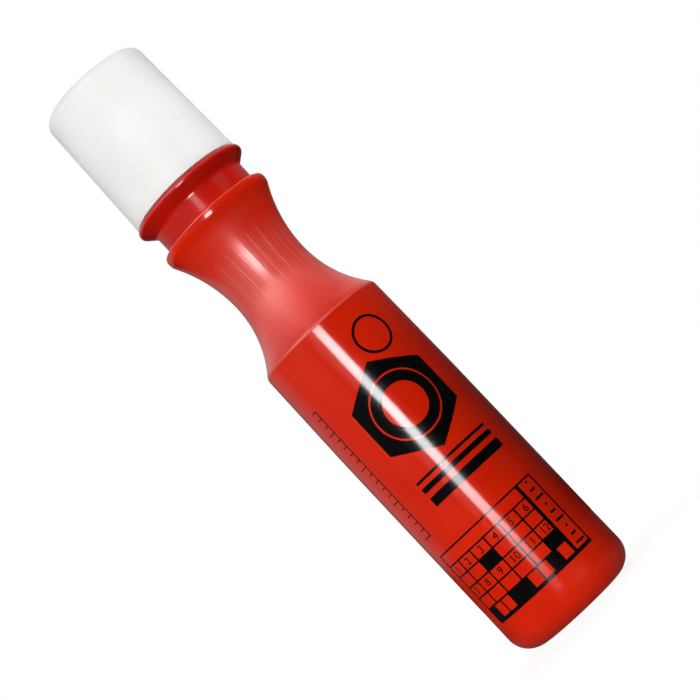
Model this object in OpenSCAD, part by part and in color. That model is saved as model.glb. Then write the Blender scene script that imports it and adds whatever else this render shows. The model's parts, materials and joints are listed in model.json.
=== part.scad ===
// Squeeze-bottle paint marker with a valve-action felt nib and a push-on cap.
// Millimetres. The marker stands upright: Z is its axis and the origin is the centre of its base.

/* [Bottle] */
// Outside diameter of the body
body_d = 32; // [28:0.5:38]
// Height of the body's straight part above the base
straight_z = 58; // [40:0.5:60]
// Height of the shoulder's edge above the base
shoulder_z = 81.8; // [65:0.1:110]
// How far the body has narrowed, on each side, at the shoulder's edge
shoulder_in = 0.25; // [0:0.05:1]
// Radius of the rounded edge between the side and the base
base_round = 5.5; // [4.5:0.1:6.5]
// Radius of the shoulder's rounded edge
shoulder_round = 1.2; // [0.5:0.1:2]
// Wall of the body and the waist
wall = 1.2; // [0.8:0.05:1.5]
// Thickness of the floor at its centre
floor_t = 1.6; // [1.2:0.1:2.4]
// Depth of the recess under the base
recess_h = 1.8; // [1:0.1:2.5]
// Width of the flat ring that the bottle stands on
foot_w = 1.8; // [1:0.1:3]

/* [Waist and mouth] */
// Diameter of the waist at its narrowest point
waist_d = 19.8; // [18:0.1:22]
// Radius of the curve from the shoulder to the waist
waist_arc_low = 25.5; // [18:0.5:40]
// Radius of the curve from the waist to the rim
waist_arc_up = 33; // [24:0.5:45]
// How far the rim stands out past the cap's edge, on each side
rim_out = 0.05; // [-0.5:0.05:1]
// Height of the rim's band
rim_h = 1.85; // [1.6:0.05:4]
// Radius of the curve that leads from the waist into the rim's band
rim_round = 3.5; // [2:0.1:4.5]
// Radius of the rim's rounded top edge
rim_edge = 0.35; // [0.2:0.05:0.6]
// Wall of the mouth at the rim
mouth_wall = 1.95; // [1.8:0.05:2.4]
// Width of the ledge inside the mouth that stops the plug
ledge_w = 0.4; // [0.3:0.05:0.8]

/* [Tip plug] */
// Height of the flange's top above the bottle's rim
collar_h = 8.6; // [7:0.1:12]
// How far the flange stands out past the cap's edge, on each side
flange_out = 0.65; // [0.3:0.05:2]
// Radius of the flange's rounded edge
flange_round = 0.85; // [0.4:0.05:1]
// Height of the sloping underside of the flange
slope_h = 1.9; // [1.5:0.1:3.5]
// Wall of the plug's collar and skirt
plug_wall = 1.35; // [1:0.05:1.6]
// Thickness of the plug's deck
deck_t = 1.5; // [1.2:0.1:2.5]
// Length of the skirt below the ledge
skirt_h = 5; // [3:0.1:7]
// Gap between the skirt's end and the inside of the bottle
skirt_gap = 0.6; // [0.3:0.05:0.8]
// Height of the ring above the flange that the cap is pushed over
spigot_h = 8; // [6:0.1:10]
// Wall of that ring
spigot_wall = 1.3; // [1:0.05:2]

/* [Cap] */
// Diameter of the cap at its open end
cap_d = 28.4; // [27.6:0.1:30]
// How far the cap has narrowed, on each side, at its closed end
cap_taper = 0.75; // [0:0.05:1.2]
// Length of the cap
cap_h = 31.4; // [29:0.1:40]
// Radius of the cap's rounded top edge
cap_round = 1.8; // [0.8:0.1:3]
// Wall of the cap
cap_wall = 1.3; // [1:0.05:1.6]
// Thickness of the cap's closed end
cap_top_t = 1.4; // [1:0.1:2.5]
// Height of the bead that grips the cap
bead_h = 0.25; // [0.15:0.05:0.4]
// Wall of the inner cap
inner_cap_wall = 0.9; // [0.7:0.05:1.2]
// How far the inner cap reaches below the top of the tower
inner_cap_lap = 5; // [3:0.1:7]
// Height of the ring in the cap that holds the inner cap
boss_h = 4; // [2.5:0.1:6]
// Wall of that ring
boss_wall = 1.1; // [0.8:0.05:1.5]

/* [Nib and valve] */
// Diameter of the nib
nib_d = 8; // [6:0.1:9]
// Height of the nib's rounded end
nib_end_h = 5.5; // [3:0.1:6.5]
// Free height between the nib's end and the inner cap
nib_room = 4.4; // [2:0.1:6]
// How far the nib is pressed in to open the valve
nib_travel = 2; // [1:0.1:2.5]
// Wall of the nib carrier's cup
cup_wall = 1.05; // [0.8:0.05:1.4]
// Thickness of the cup's floor
cup_floor_t = 1.5; // [1:0.1:2]
// Width of the flow slots in the cup
slot_w = 1.2; // [0.8:0.1:1.6]
// Diameter of the flow holes in the cup's floor
flow_hole_d = 1.4; // [1:0.1:1.8]
// Height of the nib's tower above the flange
tower_h = 14.5; // [12:0.1:16]
// Wall of the nib's tower
tower_wall = 1.2; // [1:0.05:1.6]
// How far the floor of the nib's chamber lies below the flange's top
chamber_drop = 1; // [0.5:0.1:1.2]
// Wall of the ferrule
ferrule_wall = 0.8; // [0.6:0.05:1.2]
// Length of the ferrule on the tower
ferrule_h = 8.5; // [6:0.1:10]
// Height of the ferrule's nose above the tower
nose_h = 2.5; // [2:0.1:3.5]
// Width of the flat end of the nose
nose_w = 1; // [0.6:0.05:1.4]
// Diameter of the valve stem
stem_d = 3; // [2.4:0.1:3.6]
// Length of the stem below the disc
stem_tail = 3; // [2:0.1:4]
// Depth of the groove in the stem that holds the disc
stem_groove = 0.35; // [0.2:0.05:0.5]
// Gap around the stem where the paint passes
flow_gap = 1.1; // [0.8:0.05:1.4]
// Thickness of the wall with the valve seat
seat_t = 2.4; // [1.6:0.1:3]
// How far the disc laps over the seat
seat_lap = 1.4; // [1:0.05:1.8]
// Thickness of the valve disc
disc_t = 1.6; // [1.2:0.1:2.2]
// Height of the disc's hub inside the spring
hub_h = 1.2; // [0.8:0.1:1.6]
// Wall of that hub around the stem
hub_wall = 1; // [0.8:0.05:1.2]
// Gap between the disc and the cage
disc_gap = 0.6; // [0.4:0.05:0.9]
// Wall of the spring cage
cage_wall = 1; // [0.8:0.05:1.3]
// Height of the spring cage
cage_h = 14.5; // [13:0.1:16]
// Thickness of the cage's floor
cage_floor_t = 1; // [0.8:0.1:1.5]
// Height of the solid rings below and above the cage's windows
window_margin = 1; // [0.6:0.1:1.5]
// Diameter of the hole in the cage's floor
cage_hole_d = 3.6; // [2:0.1:4]
// Width of the windows in the cage
window_w = 3.2; // [2:0.1:4]
// Length of the socket that holds the cage
socket_h = 6; // [5:0.1:8]
// Wall of that socket
socket_wall = 1.3; // [1:0.05:1.5]
// Diameter of the spring's wire
wire_d = 0.6; // [0.4:0.05:0.7]
// Turns of the spring, the closed end turns included
spring_turns = 7; // [5:1:8]

/* [Mixing balls] */
// Diameter of a mixing ball
ball_d = 7; // [5:0.5:8]

/* [Fits] */
// Radial clearance of what is pressed or snapped in for good
seat_clear = 0.05; // [0.02:0.01:0.1]
// Radial clearance of what slides
slide_clear = 0.12; // [0.05:0.01:0.2]
// Radial clearance between the cap and its bead
cap_clear = 0.1; // [0.06:0.01:0.2]
// Gap between end faces that meet
face_gap = 0.05; // [0.02:0.01:0.15]
// Free gap around pieces that don't touch
free_gap = 0.3; // [0.2:0.05:0.4]

/* [Hidden] */
$fn = 96;

// Colours
red = [0.84, 0.10, 0.06];
deep_red = [0.78, 0.07, 0.05];
white = [0.93, 0.93, 0.92];
natural = [0.86, 0.86, 0.82];
felt_grey = [0.80, 0.78, 0.72];
black_rubber = [0.12, 0.12, 0.12];
steel = [0.66, 0.68, 0.70];
aluminium = [0.78, 0.79, 0.80];

// Small edges and moulding details
edge = 0.3;
chamfer = 0.4;
lead_in = 0.8;
arc_steps = 14;
quarter_turns = [0, 90, 180, 270];
half_quarter = 45;

// Radii of the bottle. The rim follows the cap, so that both end alike.
body_r = body_d / 2;
body_ri = body_r - wall;
shoulder_r = body_r - shoulder_in;
shoulder_ri = shoulder_r - wall;
waist_r = waist_d / 2;
cap_r = cap_d / 2;
rim_r = cap_r + rim_out;
mouth_r = rim_r - mouth_wall;
foot_ro = body_r - base_round;
foot_ri = foot_ro - foot_w;

// Heights of the bottle. Both waist curves are arcs that are upright at the narrowest point.
low_cx = waist_r + waist_arc_low;
up_cx = waist_r + waist_arc_up;
waist_z = shoulder_z + arc_rise(waist_arc_low, shoulder_r - waist_r);
rim_z = waist_z + arc_rise(waist_arc_up, rim_r - waist_r) + rim_h;
shoulder_cz = waist_z - leg(waist_arc_low + shoulder_round, low_cx - shoulder_r + shoulder_round);
inner_shoulder_z = waist_z - leg(waist_arc_low + wall, low_cx - shoulder_ri);
band_cz = waist_z + leg(waist_arc_up + rim_round, up_cx - rim_r + rim_round);
ledge_r = mouth_r - ledge_w;
ledge_z = waist_z + leg(waist_arc_up + wall, up_cx - ledge_r);

// Domes of the recess and of the floor above it
recess_r = dome_r(foot_ri, recess_h);
floor_z = recess_h + floor_t;
floor_r = dome_r(foot_ro, floor_z - wall);

// Plug
collar_r = mouth_r - seat_clear;
collar_ri = collar_r - plug_wall;
plug_bead_z = (ledge_z + rim_z) / 2;
plug_bead = 0.3;
plug_bead_w = 1.4;
plug_z = ledge_z + face_gap;
skirt_z = plug_z - skirt_h;
skirt_r = up_cx - leg(waist_arc_up + wall, skirt_z - waist_z) - skirt_gap;
skirt_ri = skirt_r - plug_wall;
flange_r = cap_r + flange_out;
flange_z = rim_z + collar_h;
// The flange's rounded edge meets its sloping underside this far below the level, in degrees
flange_turn = 45;
nose_drop = flange_round * (1 + sin(flange_turn));
slope_z = flange_z - nose_drop - slope_h;
deck_z = flange_z - deck_t;

// Cap and the ring that it is pushed over
cap_z = flange_z + 2 * face_gap;
cap_top_z = cap_z + cap_h;
cap_top_r = cap_r - cap_taper;
cap_ri = cap_r - cap_wall;
cap_top_ri = cap_top_r - cap_wall;
ceiling_z = cap_top_z - cap_top_t;
spigot_z = flange_z + spigot_h;
cap_bore_z = spigot_z + lead_in;
spigot_r = cap_ri - cap_clear - bead_h;
spigot_ri = spigot_r - spigot_wall;
cap_bead_z = flange_z + spigot_h / 2;
cap_bead_w = 1.6;

// Nib, carrier, tower and ferrule, each around the one before
nib_r = nib_d / 2;
cup_ri = nib_r + seat_clear;
cup_r = cup_ri + cup_wall;
chamber_r = cup_r + slide_clear;
tower_r = chamber_r + tower_wall;
deck_bore_r = tower_r + seat_clear;
ferrule_ri = tower_r + seat_clear;
ferrule_r = ferrule_ri + ferrule_wall;
inner_cap_ri = ferrule_r + free_gap;
inner_cap_r = inner_cap_ri + inner_cap_wall;
boss_ri = inner_cap_r + seat_clear;
boss_r = boss_ri + boss_wall;

// Heights of the nib group, with the valve shut
tower_z = flange_z + tower_h;
chamber_z = flange_z - chamber_drop;
ferrule_z = tower_z - ferrule_h;
ferrule_in_z = tower_z + face_gap;
ferrule_top_z = tower_z + nose_h;
lip_r = nib_r + 2 * slide_clear;
crimp = 0.25;
crimp_w = 1.2;
crimp_z = ferrule_z + ferrule_h / 3;
cup_z = chamber_z + nib_travel + free_gap;
cup_top_z = ferrule_in_z - free_gap;
nib_z = cup_z + cup_floor_t + face_gap;
inner_cap_top_z = ceiling_z - face_gap;
inner_cap_in_z = inner_cap_top_z - inner_cap_wall;
inner_cap_z = tower_z - inner_cap_lap;
nib_tip_z = inner_cap_in_z - nib_room;
slot_h = (cup_top_z - cup_z) / 2;
flow_hole_r = flow_hole_d / 2;
flow_hole_at = (stem_d / 2 + cup_ri) / 2;

// Valve
stem_r = stem_d / 2;
stem_neck_r = stem_r - stem_groove;
seat_hole_r = stem_r + flow_gap;
seat_z = chamber_z - seat_t;
disc_r = seat_hole_r + seat_lap;
disc_bore_r = stem_neck_r + seat_clear;
disc_top_z = seat_z - face_gap;
disc_z = disc_top_z - disc_t;
hub_z = disc_z - hub_h;
hub_r = stem_r + hub_wall;
stem_z = hub_z - face_gap - stem_tail;
cage_ri = disc_r + disc_gap;
cage_r = cage_ri + cage_wall;
cage_top_z = seat_z - face_gap;
cage_z = cage_top_z - cage_h;
cage_floor_z = cage_z + cage_floor_t;
cage_hole_r = cage_hole_d / 2;
socket_ri = cage_r + seat_clear;
socket_r = socket_ri + socket_wall;
socket_z = seat_z - socket_h;
socket_top_z = deck_z - face_gap;
deck_bead_z = flange_z + face_gap + plug_bead_w / 2;
socket_bead_z = seat_z - socket_h / 2;
window_z = cage_floor_z + window_margin;
window_top_z = socket_z - window_margin;

// Spring between the cage's floor and the disc
wire_r = wire_d / 2;
spring_r = hub_r + free_gap + wire_r;
spring_z = cage_floor_z + face_gap;
spring_top_z = disc_z - face_gap;
wire_sides = 8;
turn_steps = 18;
end_gap = 0.06;
end_pitch = wire_d + end_gap;

// Mixing balls, resting in the floor's corner
ball_r = ball_d / 2;
ball_rest_gap = free_gap / 2;
ball_x = min(foot_ro, body_ri - ball_r - free_gap);
ball_on_dome_z = floor_z - floor_r + leg(floor_r + ball_r + ball_rest_gap, ball_x);
ball_z = max(wall + ball_r + ball_rest_gap, ball_on_dome_z);

// Leg of a right triangle from its long side and its other leg
function leg(long_side, other) = sqrt(long_side * long_side - other * other);

// Height over which an arc that starts upright moves sideways by a given amount
function arc_rise(r, sideways) = leg(r, r - sideways);

// Radius of a dome from its half width and its height
function dome_r(half, height) = (half * half + height * height) / (2 * height);

// Points along an arc from angle a0 to angle a1
function arc(cx, cz, r, a0, a1) =
    [for (i = [0 : arc_steps]) let (a = a0 + (a1 - a0) * i / arc_steps) [cx + r * cos(a), cz + r * sin(a)]];

// Points along a dome on the axis, from its top outwards to half width
function dome(top, r, half) = arc(0, top - r, r, 90, acos(half / r));

// Three-sided bead or groove on a wall of radius r at height z, with its points listed upwards
function bead(r, z, height, width) =
    [[r, z - width / 2], [r + height, z - width / 6], [r + height, z + width / 6], [r, z + width / 2]];

function reversed(points) = [for (i = [len(points) - 1 : -1 : 0]) points[i]];

module turned(points) {
    rotate_extrude() polygon(points);
}

// Bottle: base, body, shoulder, waist and rim outside, the same curves one wall further in inside
module bottle() {
    low_a = atan2(waist_z - shoulder_cz, low_cx - shoulder_r + shoulder_round);
    up_a = atan2(band_cz - waist_z, up_cx - rim_r + rim_round);
    inner_low_a = asin((waist_z - inner_shoulder_z) / (waist_arc_low + wall));
    inner_up_a = asin((ledge_z - waist_z) / (waist_arc_up + wall));
    outside = concat(
        dome(recess_h, recess_r, foot_ri),
        arc(foot_ro, base_round, base_round, -90, 0),
        [[body_r, straight_z]],
        arc(shoulder_r - shoulder_round, shoulder_cz, shoulder_round, 0, low_a),
        arc(low_cx, waist_z, waist_arc_low, 180 + low_a, 180),
        arc(up_cx, waist_z, waist_arc_up, 180, 180 - up_a),
        arc(rim_r - rim_round, band_cz, rim_round, -up_a, 0),
        arc(rim_r - rim_edge, rim_z - rim_edge, rim_edge, 0, 90)
    );
    inside = concat(
        dome(floor_z, floor_r, foot_ro),
        arc(foot_ro, base_round, base_round - wall, -90, 0),
        [[body_ri, straight_z]],
        arc(low_cx, waist_z, waist_arc_low + wall, 180 + inner_low_a, 180),
        arc(up_cx, waist_z, waist_arc_up + wall, 180, 180 - inner_up_a),
        [[mouth_r, ledge_z]],
        bead(mouth_r, plug_bead_z, plug_bead, plug_bead_w),
        [[mouth_r, rim_z - chamfer], [mouth_r + chamfer, rim_z]]
    );
    color(red) turned(concat(outside, reversed(inside)));
}

// Plug: skirt and collar in the bottle, flange, ring for the cap, deck with a bore for the valve body
module tip_plug() {
    under = [
        [skirt_ri, skirt_z],
        [skirt_r - chamfer, skirt_z],
        [skirt_r, skirt_z + chamfer],
        [skirt_r, plug_z],
        [collar_r - chamfer, plug_z],
        [collar_r, plug_z + chamfer]
    ];
    outside = concat(
        bead(collar_r, plug_bead_z, plug_bead, plug_bead_w),
        [[collar_r, slope_z]],
        arc(flange_r - flange_round, flange_z - flange_round, flange_round, -flange_turn, 90),
        [[spigot_r, flange_z]],
        bead(spigot_r, cap_bead_z, bead_h, cap_bead_w),
        [[spigot_r, spigot_z - lead_in], [spigot_r - edge, spigot_z], [spigot_ri, spigot_z]]
    );
    inside = [
        [spigot_ri, flange_z],
        [deck_bore_r, flange_z],
        [deck_bore_r, deck_z],
        [collar_ri, deck_z],
        [collar_ri, plug_z + plug_wall],
        [skirt_ri, plug_z + plug_wall]
    ];
    color(deep_red) turned(concat(under, outside, inside));
}

// Valve body: tower for the nib, valve seat and socket for the cage, snapped up through the plug's deck
module valve_body() {
    outside = concat(
        [[socket_ri, socket_z], [socket_r, socket_z], [socket_r, socket_top_z], [tower_r, socket_top_z]],
        bead(tower_r, deck_bead_z, bead_h, plug_bead_w),
        [[tower_r, tower_z - edge], [tower_r - edge, tower_z], [chamber_r, tower_z]]
    );
    inside = concat(
        [[chamber_r, chamber_z], [seat_hole_r, chamber_z], [seat_hole_r, seat_z], [socket_ri, seat_z]],
        reversed(bead(socket_ri, socket_bead_z, bead_h, plug_bead_w))
    );
    color(natural) turned(concat(outside, inside));
}

// Ferrule: metal sleeve pressed over the tower, with a nose that guides the nib and keeps its carrier in
module nib_ferrule() {
    nose_a = atan2(ferrule_r - lip_r - nose_w, nose_h);
    color(aluminium) turned(concat(
        [[ferrule_ri, ferrule_z], [ferrule_r, ferrule_z]],
        bead(ferrule_r, crimp_z, -crimp, crimp_w),
        arc(ferrule_r - edge, tower_z - edge, edge, 0, nose_a),
        [[lip_r + nose_w, ferrule_top_z], [lip_r + edge, ferrule_top_z], [lip_r, ferrule_top_z - edge]],
        [[lip_r, ferrule_in_z], [ferrule_ri, ferrule_in_z]]
    ));
}

// Nib: felt rod with an egg-shaped end
module nib() {
    shank_z = nib_tip_z - nib_end_h;
    end_points = [
        for (i = [0 : arc_steps])
            let (a = 90 * i / arc_steps)
            [nib_r * cos(a), shank_z + nib_end_h * sin(a)]
    ];
    color(felt_grey) turned(concat(
        [[0, nib_z], [nib_r - chamfer, nib_z], [nib_r, nib_z + chamfer]],
        end_points
    ));
}

// Carrier: cup around the nib's back end, with the valve stem, flow slots and flow holes
module nib_carrier() {
    color(natural) difference() {
        turned([
            [0, stem_z],
            [stem_neck_r - edge, stem_z],
            [stem_r, stem_z + stem_tail / 2],
            [stem_r, hub_z - face_gap],
            [stem_neck_r, hub_z - face_gap],
            [stem_neck_r, disc_top_z + face_gap],
            [stem_r, disc_top_z + face_gap],
            [stem_r, cup_z],
            [cup_r - chamfer, cup_z],
            [cup_r, cup_z + chamfer],
            [cup_r, cup_top_z],
            [cup_ri, cup_top_z],
            [cup_ri, cup_z + cup_floor_t],
            [0, cup_z + cup_floor_t]
        ]);
        for (a = quarter_turns) rotate(a) {
            translate([cup_ri - edge, -slot_w / 2, cup_z + cup_floor_t])
                cube([cup_wall + 2 * edge, slot_w, slot_h]);
            rotate(half_quarter) translate([flow_hole_at, 0, cup_z - edge])
                cylinder(r = flow_hole_r, h = cup_floor_t + 2 * edge);
        }
    }
}

// Disc: soft washer on the stem, pressed up against the seat, with a hub that centres the spring
module valve_disc() {
    color(black_rubber) turned([
        [disc_bore_r, hub_z],
        [hub_r, hub_z],
        [hub_r, disc_z],
        [disc_r, disc_z],
        [disc_r, disc_top_z - edge],
        [disc_r - edge, disc_top_z],
        [disc_bore_r, disc_top_z]
    ]);
}

// Height of the wire's middle after a number of turns: closed turns at both ends, even pitch between
function wire_z(turns) =
    let (
        low = spring_z + wire_r,
        high = spring_top_z - wire_r,
        pitch = (high - low - 2 * end_pitch) / (spring_turns - 2)
    )
    turns < 1 ? low + end_pitch * turns
        : turns > spring_turns - 1 ? high - end_pitch * (spring_turns - turns)
        : low + end_pitch + pitch * (turns - 1);

// Spring: round wire swept along the coil
module valve_spring() {
    rings = spring_turns * turn_steps;
    points = [
        for (i = [0 : rings]) for (k = [0 : wire_sides - 1])
            let (
                turn = 360 * i / turn_steps,
                side = 360 * (k + 0.5) / wire_sides,
                r = spring_r + wire_r * cos(side)
            )
            [r * cos(turn), r * sin(turn), wire_z(i / turn_steps) + wire_r * sin(side)]
    ];
    sides = [
        for (i = [0 : rings - 1]) for (k = [0 : wire_sides - 1])
            let (a = i * wire_sides + k, b = i * wire_sides + (k + 1) % wire_sides)
            each [[a, b, a + wire_sides], [b, b + wire_sides, a + wire_sides]]
    ];
    first_end = [for (k = [wire_sides - 1 : -1 : 0]) k];
    last_end = [for (k = [0 : wire_sides - 1]) rings * wire_sides + k];
    color(steel) polyhedron(points, concat(sides, [first_end, last_end]));
}

// Cage: slotted cup snapped into the valve body's socket, with the spring standing on its floor
module spring_cage() {
    color(natural) difference() {
        turned(concat(
            [[cage_hole_r, cage_z], [cage_r - chamfer, cage_z], [cage_r, cage_z + chamfer]],
            bead(cage_r, socket_bead_z, bead_h - seat_clear, plug_bead_w),
            [[cage_r, cage_top_z], [cage_ri, cage_top_z]],
            [[cage_ri, cage_floor_z], [cage_hole_r, cage_floor_z]]
        ));
        for (a = quarter_turns) rotate(a)
            translate([cage_ri - edge, -window_w / 2, window_z])
                cube([cage_wall + 2 * edge, window_w, window_top_z - window_z]);
    }
}

module mixing_ball(side) {
    color(steel) translate([side * ball_x, 0, ball_z]) sphere(r = ball_r);
}

// Cap: tapered shell with a straight bore for the plug's ring, and a boss that holds the inner cap
module cap() {
    outside = concat(
        [[cap_ri + edge, cap_z], [cap_r - edge, cap_z], [cap_r, cap_z + edge]],
        arc(cap_top_r - cap_round, cap_top_z - cap_round, cap_round, 0, 90),
        [[0, cap_top_z]]
    );
    inside = [
        [0, ceiling_z],
        [boss_ri, ceiling_z],
        [boss_ri, ceiling_z - boss_h],
        [boss_r, ceiling_z - boss_h],
        [boss_r, ceiling_z],
        [cap_top_ri - chamfer, ceiling_z],
        [cap_top_ri, ceiling_z - chamfer],
        [cap_ri, cap_bore_z],
        [cap_ri, cap_z + edge]
    ];
    color(white) turned(concat(outside, inside));
}

// Inner cap: thin cup that closes over the nib, with a bead that seals on the ferrule
module inner_cap() {
    seal = free_gap - slide_clear;
    seal_z = inner_cap_z + lead_in + plug_bead_w / 2;
    color(natural) turned(concat(
        [[0, inner_cap_in_z], [inner_cap_ri, inner_cap_in_z]],
        reversed(bead(inner_cap_ri, seal_z, -seal, plug_bead_w)),
        [[inner_cap_ri, inner_cap_z + edge], [inner_cap_ri + edge, inner_cap_z]],
        [[inner_cap_r - edge, inner_cap_z], [inner_cap_r, inner_cap_z + edge]],
        [[inner_cap_r, inner_cap_top_z - edge], [inner_cap_r - edge, inner_cap_top_z], [0, inner_cap_top_z]]
    ));
}

bottle();
tip_plug();
valve_body();
nib_ferrule();
nib();
nib_carrier();
valve_disc();
valve_spring();
spring_cage();
mixing_ball(1);  // mixing_ball_1
mixing_ball(-1);  // mixing_ball_2
cap();
inner_cap();
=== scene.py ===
import json
import random
from math import acos, asin, atan2, ceil, cos, degrees, dist, hypot, pi, radians, sin, sqrt, tan

import bpy
from mathutils import Matrix, Vector, noise


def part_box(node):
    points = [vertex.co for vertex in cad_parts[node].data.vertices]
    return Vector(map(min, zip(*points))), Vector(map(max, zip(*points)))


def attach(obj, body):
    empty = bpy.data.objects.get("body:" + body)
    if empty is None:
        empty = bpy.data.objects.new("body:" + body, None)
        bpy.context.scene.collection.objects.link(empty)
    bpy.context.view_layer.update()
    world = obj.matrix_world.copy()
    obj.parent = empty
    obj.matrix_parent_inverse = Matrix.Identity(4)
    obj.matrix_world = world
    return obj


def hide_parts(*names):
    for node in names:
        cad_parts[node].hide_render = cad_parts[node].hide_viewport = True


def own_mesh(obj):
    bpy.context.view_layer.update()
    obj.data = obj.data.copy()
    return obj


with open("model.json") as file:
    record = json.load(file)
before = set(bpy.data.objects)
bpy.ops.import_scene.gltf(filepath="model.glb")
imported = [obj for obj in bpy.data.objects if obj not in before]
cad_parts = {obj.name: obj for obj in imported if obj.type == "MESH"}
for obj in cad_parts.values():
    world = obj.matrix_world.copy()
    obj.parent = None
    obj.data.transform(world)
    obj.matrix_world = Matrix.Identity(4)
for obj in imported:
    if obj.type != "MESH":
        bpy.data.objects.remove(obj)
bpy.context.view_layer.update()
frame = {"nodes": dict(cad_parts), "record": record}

# Sizes are in millimetres and angles in degrees. MM turns millimetres into Blender's metres.
MM = 0.001


def span(node):
    """A node's outer radius, its lowest z and its highest z at rest, in millimetres."""
    low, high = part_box(node)
    return high.x / MM, low.z / MM, high.z / MM


body_r = span("bottle")[0]
rim_z = span("bottle")[2]
flange_r, skirt_z, spigot_z = span("tip_plug")
cap_r, cap_z, cap_top_z = span("cap")
ferrule_r, ferrule_z, ferrule_top_z = span("nib_ferrule")
nib_r, nib_z, nib_tip_z = span("nib")
inner_cap_r = span("inner_cap")[0]
tower_z = span("valve_body")[2]
cage_z = span("spring_cage")[1]
disc_z = span("valve_disc")[1]

# Fits and small edges
seat_clear = 0.05
face_gap = 0.05
edge = 0.3
chamfer = 0.4
lead_in = 0.8

# Bottle
straight_z = 58.0
shoulder_in = 0.25
base_round = 5.5
shoulder_round = 2.0
wall = 1.2
floor_t = 1.6
recess_h = 1.8
foot_w = 1.8
waist_r = 9.9
waist_arc_low = 25.5
waist_arc_up = 33.0
rim_out = 0.05
rim_h = 1.85
rim_round = 3.5
rim_edge = 0.55
mouth_wall = 1.95
ledge_w = 0.4

# Tip plug
flange_round = 1.02
nose_turn = 45.0
slope_h = 1.9
plug_wall = 1.35
deck_t = 1.5
skirt_gap = 0.6
spigot_h = 8.0
spigot_wall = 1.3
lead_turn = 20.0
plug_bead = 0.3
plug_bead_w = 1.4

# Cap
cap_taper = 0.75
cap_round = 1.8
cap_wall = 1.3
cap_top_t = 1.4
cap_clear = 0.1
lip_round = 0.12
bead_h = 0.25
cap_bead_w = 1.6
boss_h = 4.0
boss_wall = 1.1
gate_r = 2.2
gate_depth = 0.15
gate_nub_r = 0.5

# Ferrule, nib and spring
ferrule_wall = 0.8
nose_w = 1.0
lip_clear = 0.24
crimp = 0.25
crimp_w = 1.2
nib_end_h = 5.5
wire_r = 0.3
hub_h = 1.2
cage_floor_t = 1.0
spring_r = 3.1
spring_turns = 7
end_gap = 0.06

# Fineness of the meshes: columns round the axis, and spacings along the outlines
BOTTLE_COLUMNS = 480
SHELL_COLUMNS = 256
SMALL_COLUMNS = 128
LEAST_ARC_STEPS = 5
ARC_SPACING = 0.6
SHOULDER_SPACING = 0.15
BAND_SPACING = 0.18
ROUND_SPACING = 0.1
EDGE_SPACING = 0.06
FERRULE_SPACING = 0.05
CAP_SPACING = 0.2
RECESS_SPACING = 0.8
FLOOR_SPACING = 1.5
INNER_WAIST_SPACING = 2.5
INNER_FOOT_SPACING = 1.2
BODY_STEP = 2.0
INNER_STEP = 9.0
COLLAR_STEP = 0.4
NIB_STEP = 0.5
BEAD_STEPS = 8
NIB_END_STEPS = 28
POLE = 1e-6
SMOOTH_BELOW = radians(38)


def leg(long_side, other):
    """Leg of a right triangle from its long side and its other leg."""
    return sqrt(long_side * long_side - other * other)


def dome_r(half, height):
    """Radius of a dome from its half width and its height."""
    return (half * half + height * height) / (2 * height)


def arc(cx, cz, r, a0, a1, spacing=ARC_SPACING):
    """Points along an arc from angle a0 to angle a1, about a spacing apart."""
    count = max(LEAST_ARC_STEPS, ceil(radians(abs(a1 - a0)) * r / spacing))
    angles = [radians(a0 + (a1 - a0) * i / count) for i in range(count + 1)]
    return [(cx + r * cos(a), cz + r * sin(a)) for a in angles]


def line(start, end, spacing):
    """Points along a straight line, both ends included."""
    count = max(1, ceil(dist(start, end) / spacing))
    return [
        (start[0] + (end[0] - start[0]) * i / count, start[1] + (end[1] - start[1]) * i / count)
        for i in range(count + 1)
    ]


def bead(r, z, height, width):
    """Rounded bead or groove on a wall of radius r at height z, with its points listed upwards."""
    return [
        (r + height * sin(pi * i / BEAD_STEPS) ** 2, z + width * (i / BEAD_STEPS - 0.5))
        for i in range(BEAD_STEPS + 1)
    ]


def smooth_step(low, high, value):
    """0 below low, 1 above high, with a smooth change between."""
    t = min(1.0, max(0.0, (value - low) / (high - low)))
    return t * t * (3 - 2 * t)


def make_piece(name, verts, faces):
    """A smooth-shaded mesh object from points in metres."""
    mesh = bpy.data.meshes.new(name)
    mesh.from_pydata(verts, [], faces)
    mesh.validate()
    mesh.shade_smooth()
    mesh.set_sharp_from_angle(angle=SMOOTH_BELOW)
    piece = bpy.data.objects.new(name, mesh)
    bpy.context.scene.collection.objects.link(piece)
    return piece


def normals_of(points):
    """Unit normals of a run of profile points, to the right of the way that they are listed."""
    found = []
    for i in range(len(points)):
        before = points[max(i - 1, 0)]
        after = points[min(i + 1, len(points) - 1)]
        dr = after[0] - before[0]
        dz = after[1] - before[1]
        size = hypot(dr, dz) or 1.0
        found.append((dz / size, -dr / size))
    return found


def lathe(name, outside, inside, columns, relief=None):
    """Turns a closed outline of (radius, z) points about the Z axis.

    relief(column, radius, z) moves a point of the outside along its normal."""
    profile = outside + inside
    normals = normals_of(outside) + [(0.0, 0.0)] * len(inside)
    verts = []
    faces = []
    rings = []
    for i, (r, z) in enumerate(profile):
        if r < POLE:
            rings.append([len(verts)])
            verts.append((0.0, 0.0, z * MM))
            continue
        rings.append([len(verts) + k for k in range(columns)])
        for k in range(columns):
            angle = 2 * pi * k / columns
            lift = relief(k, r, z) if relief else 0.0
            out = (r + lift * normals[i][0]) * MM
            up = (z + lift * normals[i][1]) * MM
            verts.append((out * cos(angle), out * sin(angle), up))
    for i, low in enumerate(rings):
        high = rings[(i + 1) % len(rings)]
        if len(low) == 1 and len(high) == 1:
            continue
        for k in range(columns):
            n = (k + 1) % columns
            if len(low) == 1:
                faces.append((low[0], high[n], high[k]))
            elif len(high) == 1:
                faces.append((low[k], low[n], high[0]))
            else:
                faces.append((low[k], low[n], high[n], high[k]))
    return make_piece(name, verts, faces)


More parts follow.
